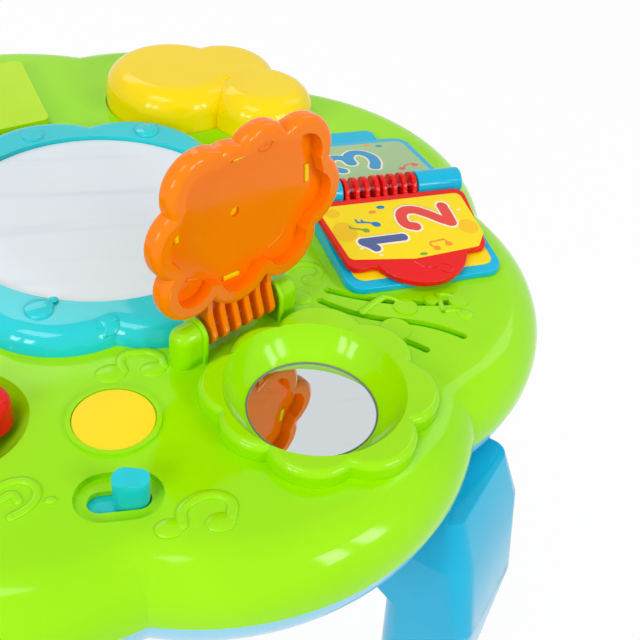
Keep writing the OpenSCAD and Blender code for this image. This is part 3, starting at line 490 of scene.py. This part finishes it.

# %% [markdown]
# ## The small prints
# Small notes and ovals fill the stickers. They are spots and strokes of six inks.

# %% Printed notes and spots
INKS = {
    "blue": film("blue ink", paint(10, 130, 190), paint(6, 120, 180)),
    "orange": film("orange ink", paint(246, 150, 48), paint(240, 140, 40)),
    "green": film("green ink", paint(120, 170, 60), paint(110, 160, 54)),
    "red": film("red ink", paint(226, 96, 84), paint(220, 86, 76)),
    "gold": film("gold ink", paint(246, 196, 16), paint(242, 190, 10)),
    "white": CREAM,
}
SMALL_PRINTS = [
    ("page_note_blue", "blue", [[(-20.6, -29.6), (-25, -28), (-29.4, -27.4)],
                                [(-29.4, -27.4), (-29.8, -25.2)], [(-26.4, -28), (-26.6, -26)]],
     [(-19.8, -30.4, 2.6, 2.0, -20), (-12.5, -17.7, 2.4, 1.4, 0)], PAGE, "page_body"),
    ("page_note_green", "green", [[(-27.6, -33.6), (-32, -32), (-34.6, -31.2)],
                                  [(-34.6, -31.2), (-34.9, -29.6)]],
     [(-27.0, -34.1, 2.1, 1.6, -20), (-2.8, -56.4, 2.2, 1.1, 0)], PAGE, "page_body"),
    ("page_note_orange", "orange", [[(5.4, -53.2), (3.8, -49.6), (8.6, -48.2), (12.4, -47.8)],
                                    [(12.4, -47.8), (14.2, -51.0)]],
     [(6.2, -53.6, 2.1, 1.7, 0), (14.0, -51.4, 2.1, 1.7, 0), (-18.4, -20.8, 2.3, 1.3, 0)],
     PAGE, "page_body"),
    ("page_spots_gold", "gold", [], [(30.5, -40.5, 5.6, 5.6, 0), (-38.5, -33.5, 6.5, 7.5, 0),
                                     (-40.5, -18.5, 4.0, 3.4, 0)], PAGE, "page_body"),
    ("page_spots_white", "white", [], [(-34, -47, 1.3, 0.8, 0), (-25.5, -53.4, 1.1, 0.7, 0),
                                       (24.5, -20.0, 1.3, 0.8, 0), (31.0, -26.5, 1.2, 0.8, 0)],
     PAGE, "page_body"),
    ("tray_spots_orange", "orange", [], [(12.2, 62.7, 2.2, 1.6, 0)], FAR_PAGE, "table"),
    ("tray_spots_blue", "blue", [], [(19.0, 59.7, 2.2, 1.6, 0)], FAR_PAGE, "table"),
    ("tray_note_red", "red", [[(20.5, 26.4), (24.5, 30.0), (29.6, 31.4)]],
     [(20.0, 26.0, 2.3, 1.9, 20), (29.8, 29.2, 2.3, 1.9, 20)], FAR_PAGE, "table"),
]
for name, ink, lines, spots, place, body in SMALL_PRINTS:
    slot = "yellow_label" if body == "page_body" else "green_label"
    height = 0.04 if ink in ("gold", "white") else 0.07
    mark(name, lines, spots, height, place, body, INKS[ink], 1.3)
print(len(SMALL_PRINTS), "groups of small prints")

# %% [markdown]
# ## Raised notes
# On the shell, the aqua frame and the speaker grille the notes stand about a millimetre proud, in
# the same plastic, with soft flanks that catch the light.

# %% Raised notes
GREEN = FINISHES["green_plastic"]
RAISED = [
    ("top_note_middle", [[(1.6, -111), (1.0, -104), (3.4, -100.6), (9, -99.8), (14.4, -100.6),
                          (18.4, -104), (19.2, -110.4)]],
     [(-4.0, -112, 6.9, 5.9, 0), (14.4, -112, 5.8, 4.8, 0)], 4.6),
    ("top_curl", [[(-51, -168.4), (-45, -166.4), (-38.6, -168.2), (-36.4, -173.4), (-39.4, -179.4),
                   (-46, -183.4)], [(-50, -174.6), (-45.6, -172.8), (-43.4, -176.2)]],
     [(-31.5, -178, 2.6, 1.8, 0)], 4.0),
    ("top_note_right", [[(15.6, -197.6), (16.6, -190.6), (21.3, -186.7), (27, -185.2),
                         (32.4, -186.4), (35.8, -190.4), (34.6, -197.0)]],
     [(10.6, -198.4, 5.8, 4.6, 0), (30.0, -199.0, 6.0, 4.6, 0)], 4.8),
    ("top_note_back", [[(90.4, -66.4), (86.2, -60.0), (86.4, -53.4), (91.6, -47.4), (98.4, -44.6),
                        (104.6, -46.4)], [(104.6, -46.4), (107.0, -51.4), (104.0, -56.4)]],
     [(91.4, -71.4, 6.0, 5.4, 0), (100.4, -58.4, 5.4, 4.6, 0)], 4.2),
    ("grille_note_stem", [[(119.5, -86.0), (127.2, -80.1), (133.2, -76.2)]], [], 4.2),
    ("grille_note_beam", [[(133.4, -76.2), (137.6, -78.0), (141.4, -82.0)]], [], 2.6),
    ("grille_small_stem", [[(162.2, -77.7), (161.1, -84.5), (160.6, -91.1)],
                           [(160.6, -91.1), (164.5, -90.8), (168.1, -91.6)],
                           [(162.1, -77.9), (166.7, -78.5), (169.0, -80.4)]],
     [(170.7, -94.5, 4.2, 3.8, 0)], 2.8),
]
for name, lines, spots, width in RAISED:
    mark(name, lines, spots, 1.1, TOP, "table", GREEN, width)

AQUA = FINISHES["aqua_plastic"]
frame_notes = [
    ("frame_note_left", [[(-32.5, -77), (-26.6, -72.6)]],
     [(-32.5, -77, 6.8, 6.2, 30), (-26.0, -72.4, 2.4, 2.0, 0)], 12.3),
    ("frame_note_right", [[(32, 79.6), (37.5, 84)]], [(32.2, 79.4, 7.0, 6.4, 40)], 12.3),
]
for name, lines, spots, z in frame_notes:
    mark(name, lines, spots, 0.9, TOP @ shift(0, 0, z - 0.3), "table", AQUA, 2.4)
mark("frame_note_front", [[(-2, -4.6), (0.8, 0.6), (3.6, 2.2)]], [(0, 0, 5.6, 4.8, 20)], 1.2,
     TOP @ shift(-3, -90.0, 8.7) @ turn_about("X", 36), "table", AQUA, 2.2)
mark("tab_zigzag", [[(-10.4, -59.8), (-5.6, -65.9)], [(-5.6, -65.9), (-0.1, -66.1), (3.2, -70.4)],
                    [(3.2, -70.4), (7.6, -70.6), (8.2, -66.4), (4.4, -64.6)]], [], 0.5,
     BOOK @ shift(0, 0, 15) @ turn_about("X", 7) @ shift(0, 0, 1.7), "page_body",
     FINISHES["red_plastic"], 1.3)
print(len(RAISED) + len(frame_notes) + 2, "raised notes")

# %% [markdown]
# ## The floors of the grille's slots
# The slots of the speaker grille look green all the way down, because a thin web closes them just
# under the shell. The web is painted a darker green than the shell, as shade at the bottom of the
# slots. It is a set of flat strokes, a little wider than the slots, that follow the same arcs.

# %% Web under the grille
STAVES = [(169.8, 39.6, 124.3, -120.5, -89.5), (152.8, -24.8, 72.2, -135.9, -103.5),
          (121.7, -154.2, 60.9, 46.7, 76.5), (88.7, -168.2, 74, 44.1, 72.6)]
arcs = []
for x, y, reach, first, last in STAVES:
    angles = [radians(first + (last - first) * step / 8) for step in range(9)]
    arcs.append([(x + reach * cos(angle), y + reach * sin(angle)) for angle in angles])
arcs.append([(92, -82.6), (94, -86), (96, -89.4)])
# the web's green is darker than the shell's: painted shade at the bottom of the slots
mark("grille_web", arcs, [], 0.12, TOP @ shift(0, 0, -2.74), "table",
     moulded("slot shade green plastic", paint(70, 186, 0), paint(52, 172, 0), rough=0.3, coat=0), 7.0)
print(len(arcs), "slot floors")

# %% [markdown]
# ## Marks inside the lid
# The web of the lid keeps the witness marks of its mould: a ring where an ejector pin pushed, a
# curved rib and a short bar. They are strokes too, turned over because they face the mirror when
# the lid is shut.

# %% Mould marks in the lid
LID = (MIRROR_SPOT @ shift(0, 54, 13) @ turn_about("X", -91) @ shift(0, -54, -4.2)
       @ shift(0, 0, 6.4) @ turn_about("X", 180))
ring_points = [(15.6 + 3.9 * cos(radians(angle)), 27.4 + 3.4 * sin(radians(angle)))
               for angle in range(0, 361, 30)]
ORANGE = FINISHES["orange_plastic"]
mark("lid_ring_mark", [ring_points], [], 0.35, LID, "lid_body", ORANGE, 0.8)
mark("lid_curved_rib", [[(30.4, -18.5), (28.6, -22.6), (25.4, -25.2), (20.4, -27.0)]], [], 0.6,
     LID, "lid_body", ORANGE, 1.3)
mark("lid_short_bar", [[(-25.6, -24.4), (-20.8, -26.2)]], [], 0.6, LID, "lid_body",
     ORANGE, 1.8)
print("three mould marks")

# %% [markdown]
# ## The hinge posts
# The two posts that carry the lid's pin are thumb-shaped, so that nothing catches a small hand: a
# block with its top and its outer side fully rounded, and a thin flange on its inner side. A block
# bevelled by almost half its width gives the thumb. The flange is a disc whose lower half is drawn
# down to the shell.

# %% Hinge posts
POST = {"inner": 21.5, "length": 14.5, "radius": 6.5, "axis_y": 54, "axis_z": 13, "flange": 2.4}
SUNK = 0.5
NEAR = 0.1 * MM
SHARP = radians(40)


def round_edges(piece, width, segments):
    """Rounds every sharp edge of a piece and keeps the result."""
    only(piece)
    rounding = piece.modifiers.new("rounding", "BEVEL")
    rounding.width = width * MM
    rounding.segments = segments
    rounding.limit_method = "ANGLE"
    rounding.angle_limit = SHARP
    bpy.ops.object.modifier_apply(modifier="rounding")


def thumb(side):
    """The block of one post, rounded over its top and its outer side."""
    height = POST["axis_z"] + POST["radius"] + SUNK
    bpy.ops.mesh.primitive_cube_add(size=1)
    block = bpy.context.object
    size = Matrix.Diagonal((POST["length"] * MM, 2 * POST["radius"] * MM, height * MM, 1))
    middle = side * (POST["inner"] + POST["length"] / 2)
    block.data.transform(shift(middle, POST["axis_y"], height / 2 - SUNK) @ size)
    outer = side * (POST["inner"] + POST["length"]) * MM
    top = (POST["axis_z"] + POST["radius"]) * MM
    bpy.context.tool_settings.mesh_select_mode = (False, True, False)
    bpy.ops.object.mode_set(mode="EDIT")
    bpy.ops.mesh.select_all(action="DESELECT")
    bpy.ops.object.mode_set(mode="OBJECT")
    for edge in block.data.edges:
        ends = [block.data.vertices[i].co for i in edge.vertices]
        on_outer = all(abs(end.x - outer) < NEAR for end in ends)
        on_top = all(abs(end.z - top) < NEAR for end in ends)
        level = abs(ends[0].z - ends[1].z) < NEAR
        on_inner = all(abs(end.x - outer) > 1 * MM for end in ends)
        edge.select = (on_outer and not level) or (on_top and not on_inner)
    bpy.ops.object.mode_set(mode="EDIT")
    bpy.ops.mesh.bevel(offset=(POST["radius"] - 0.15) * MM, segments=9, profile=0.5)
    bpy.ops.object.mode_set(mode="OBJECT")
    return block


def flange(side):
    """The thin disc of one post, drawn down to the shell."""
    radius = POST["radius"] + 1.6
    bpy.ops.mesh.primitive_cylinder_add(vertices=64, radius=radius * MM, depth=POST["flange"] * MM)
    disc = bpy.context.object
    disc.data.transform(turn_about("Y", 90))
    for vertex in disc.data.vertices:
        if vertex.co.z < 0:
            vertex.co.z = -(POST["axis_z"] + SUNK) * MM
            vertex.co.y = radius * MM * (1 if vertex.co.y > 0 else -1)
    middle = side * (POST["inner"] + POST["flange"] / 2)
    disc.data.transform(shift(middle, POST["axis_y"], POST["axis_z"]))
    only(disc)
    bpy.ops.object.mode_set(mode="EDIT")
    bpy.ops.mesh.select_all(action="SELECT")
    bpy.ops.mesh.remove_doubles(threshold=0.00001)
    bpy.ops.object.mode_set(mode="OBJECT")
    round_edges(disc, 0.8, 3)
    return disc


posts = joined([make(side) for side in (-1, 1) for make in (thumb, flange)], "rounded_hinge_posts")
posts.data.transform(MIRROR_SPOT)
bpy.ops.object.mode_set(mode="EDIT")
all_normals_out()
bpy.ops.object.shade_smooth_by_angle(angle=SHARP)
dress(posts, "table", FINISHES["green_plastic"])
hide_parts("hinge_posts")
print("posts with", len(posts.data.polygons), "faces")

# %% [markdown]
# ## The fins of the lid's hinge
# Six fins hold the pin. Each is a drop-shaped plate: a round end about the pin that runs into the
# lid's rim. A cylinder gives both ends, because its vertices on the lid's side move out to a
# smaller circle. Cast fins like these need soft edges, so each one is bevelled.

# %% Hinge fins
PIN = MIRROR_SPOT @ shift(0, POST["axis_y"], POST["axis_z"]) @ turn_about("X", -91)
FINS = 6
FIN_THICK = 3.1
FIN_SPAN = 37.6
FIN_RADIUS = 7.5
SMALL_END = 0.5
SMALL_END_AT = 9.6


def fin(middle):
    """One drop-shaped plate round the pin."""
    bpy.ops.mesh.primitive_cylinder_add(vertices=64, radius=FIN_RADIUS * MM, depth=FIN_THICK * MM)
    plate = bpy.context.object
    plate.data.transform(turn_about("Y", 90))
    for vertex in plate.data.vertices:
        if vertex.co.y < -0.01 * MM:
            vertex.co.y = vertex.co.y * SMALL_END - SMALL_END_AT * MM
            vertex.co.z = vertex.co.z * SMALL_END
    plate.data.transform(shift(middle, 0, 0))
    round_edges(plate, 0.9, 3)
    return plate


step = (FIN_SPAN - FIN_THICK) / (FINS - 1)
plates = [fin((FIN_THICK - FIN_SPAN) / 2 + number * step) for number in range(FINS)]
fins = joined(plates, "lid_hinge_fins")
fins.data.transform(PIN)
bpy.ops.object.shade_smooth_by_angle(angle=SHARP)
dress(fins, "lid_body", ORANGE)
print(FINS, "fins")

# %% [markdown]
# ## The switch's button
# The button is a block with round ends whose top rises and falls like a wave, so that a finger
# pushes it either way. A grid pressed to the block's outline and lifted along a sine gives the top,
# and the sides are drawn down from its border. The slider that fills the slot is a flat block.

# %% Switch button
KNOB = TOP @ turn_about("Z", -92) @ shift(180, 0, 0) @ turn_about("Z", 90)
KNOB_LONG, KNOB_WIDE, KNOB_TOP, KNOB_FOOT = 14.6, 9.2, 9.9, -5.9
SLIDER_SIZE = (35.4, 16, 2.4)
SLIDER_Z = -7.0
FAR_END = 4.7
bpy.ops.mesh.primitive_grid_add(x_subdivisions=40, y_subdivisions=28, size=2)
button = bpy.context.object
for vertex in button.data.vertices:
    across = vertex.co.y * KNOB_WIDE / 2
    end = max((KNOB_WIDE / 2) ** 2 - across ** 2, 0) ** 0.5
    along = vertex.co.x * (KNOB_LONG / 2 - KNOB_WIDE / 2 + end)
    rise = 0.8 * sin((along - 0.6) * pi / -7.2) + 0.09 * across
    vertex.co = (along * MM, across * MM, (KNOB_TOP + rise) * MM)
only(button)
bpy.ops.object.mode_set(mode="EDIT")
bpy.ops.mesh.select_all(action="SELECT")
bpy.ops.mesh.remove_doubles(threshold=0.00001)
bpy.ops.mesh.extrude_region_move(TRANSFORM_OT_translate={"value": (0, 0, -15 * MM)})
bpy.ops.object.mode_set(mode="OBJECT")
for vertex in button.data.vertices:
    if vertex.co.z < 0:
        vertex.co.z = KNOB_FOOT * MM
bpy.ops.object.mode_set(mode="EDIT")
all_normals_out()
round_edges(button, 0.9, 3)
# the button stands at the far end of its slot, on a slider that fills the slot
bpy.ops.mesh.primitive_cube_add(size=1)
slider = bpy.context.object
slider_size = Matrix.Diagonal((*[side * MM for side in SLIDER_SIZE], 1))
slider.data.transform(shift(0, 0, SLIDER_Z) @ slider_size)
round_edges(slider, 0.4, 2)
button = joined([button, slider], "wave_topped_button")
button.data.transform(KNOB @ shift(FAR_END, 0, 0))
bpy.ops.object.shade_smooth_by_angle(angle=SHARP)
dress(button, "knob_body", FINISHES["aqua_plastic"])
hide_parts("switch_knob")
print("button with", len(button.data.polygons), "faces")

# %% [markdown]
# ## The mirror's edge
# The mirror is a cut plate, and its ground edge shows as a thin grey ring. The ring is a small
# circle turned once round the mirror's middle.

# %% Mirror edge
mirror_low, mirror_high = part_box("mirror")
mirror_middle = (mirror_low + mirror_high) / 2
mirror_at = (mirror_middle.x, mirror_middle.y, mirror_high.z)
mirror_reach = (mirror_high.x - mirror_low.x) / 2
bpy.ops.object.select_all(action="DESELECT")
bpy.ops.mesh.primitive_circle_add(vertices=12, radius=0.45 * MM, fill_type="NOTHING")
ring = bpy.context.object
wire_at = Matrix.Translation((mirror_reach - 0.1 * MM, 0, 0.1 * MM))
ring.data.transform(wire_at @ turn_about("X", 90))
bpy.ops.object.mode_set(mode="EDIT")
bpy.ops.mesh.select_all(action="SELECT")
bpy.ops.mesh.spin(steps=96, angle=2 * pi, center=(0, 0, 0), axis=(0, 0, 1))
bpy.ops.mesh.select_all(action="SELECT")
bpy.ops.mesh.remove_doubles(threshold=0.00001)
bpy.ops.mesh.faces_shade_smooth()
all_normals_out()
ring.data.transform(Matrix.Translation(mirror_at))
ring.name = "mirror_edge"
dress(ring, "table",
      matte("ground edge", paint(118, 126, 128), paint(92, 100, 104), rough=0.4))
print("mirror edge at", [round(v, 4) for v in mirror_at])

# %% [markdown]
# ## Floor and light
# The table stands on a pale floor in soft studio light. Lamps are kept at a level at which a colour
# renders about as it is written. What the camera, gloss and glass see of the surroundings is plain
# white through Light Path, so the white never comes from more light on the table.

# %% Floor
bpy.ops.object.select_all(action="DESELECT")
bpy.ops.mesh.primitive_plane_add(size=8)
floor = bpy.context.object
floor.name = "floor"
pale = Finish("pale floor")
seen = pale.node("LightPath", {}, out="Is Camera Ray")
glossy = pale.node("LightPath", {}, out="Is Glossy Ray")
through = pale.node("LightPath", {}, out="Is Transmission Ray")
pale.shade(Base_Color=paint(238, 240, 242), Roughness=0.8)
glow = pale.node("Emission", {}, Color=(1, 1, 1, 1), Strength=1.0)
both = pale.node("MixShader", {}, (seen + glossy + through).clamp() * 0.96,
                 Signal(pale, pale.shader.outputs[0]), glow)
pale.links.new(both.socket, pale.nodes["Material Output"].inputs["Surface"])
floor.data.materials.append(pale.material)


# %% World
SKY = 0.36
studio = Finish("studio", bpy.data.worlds.new("studio"))
bpy.context.scene.world = studio.material
at_camera, through_glass, in_gloss = [studio.node("LightPath", {}, out=f"Is {kind} Ray")
                                      for kind in ("Camera", "Transmission", "Glossy")]
white = (at_camera + through_glass + in_gloss).clamp()
level = white * (1 - SKY) + SKY
studio.feed(studio.nodes["Background"].inputs["Color"], (1, 1, 1, 1))
studio.feed(studio.nodes["Background"].inputs["Strength"], level)
print("sky at", SKY)


# %% Lamps
def softbox(name, place, aim, size, power):
    """A rectangular lamp that faces the aim."""
    lamp = bpy.data.lights.new(name, "AREA")
    lamp.shape = "RECTANGLE"
    lamp.size, lamp.size_y = size
    lamp.energy = power
    holder = bpy.data.objects.new(name, lamp)
    bpy.context.scene.collection.objects.link(holder)
    holder.location = place
    holder.rotation_euler = (Vector(place) - Vector(aim)).to_track_quat("Z", "Y").to_euler()
    return holder


softbox("key lamp", (-0.6, -0.5, 1.9), CENTRE, (0.9, 0.6), 9)
softbox("side lamp", (1.3, 0.5, 1.5), CENTRE, (0.5, 0.9), 3)
softbox("back lamp", (-0.4, 1.4, 1.5), CENTRE, (1.0, 0.5), 4)
# two tall windows of two panes each, low in front
for x, y in ((0.86, -1.22), (1.14, -0.98), (-1.22, -0.86), (-0.98, -1.14)):
    softbox("window pane", (x, y, 0.98), CENTRE, (0.22, 0.52), 4.6)
print("three softboxes and two windows")

# %% [markdown]
# ## Close the file
# The picture is shown as it is lit.

# %% Output settings
bpy.context.scene.view_settings.view_transform = "Standard"
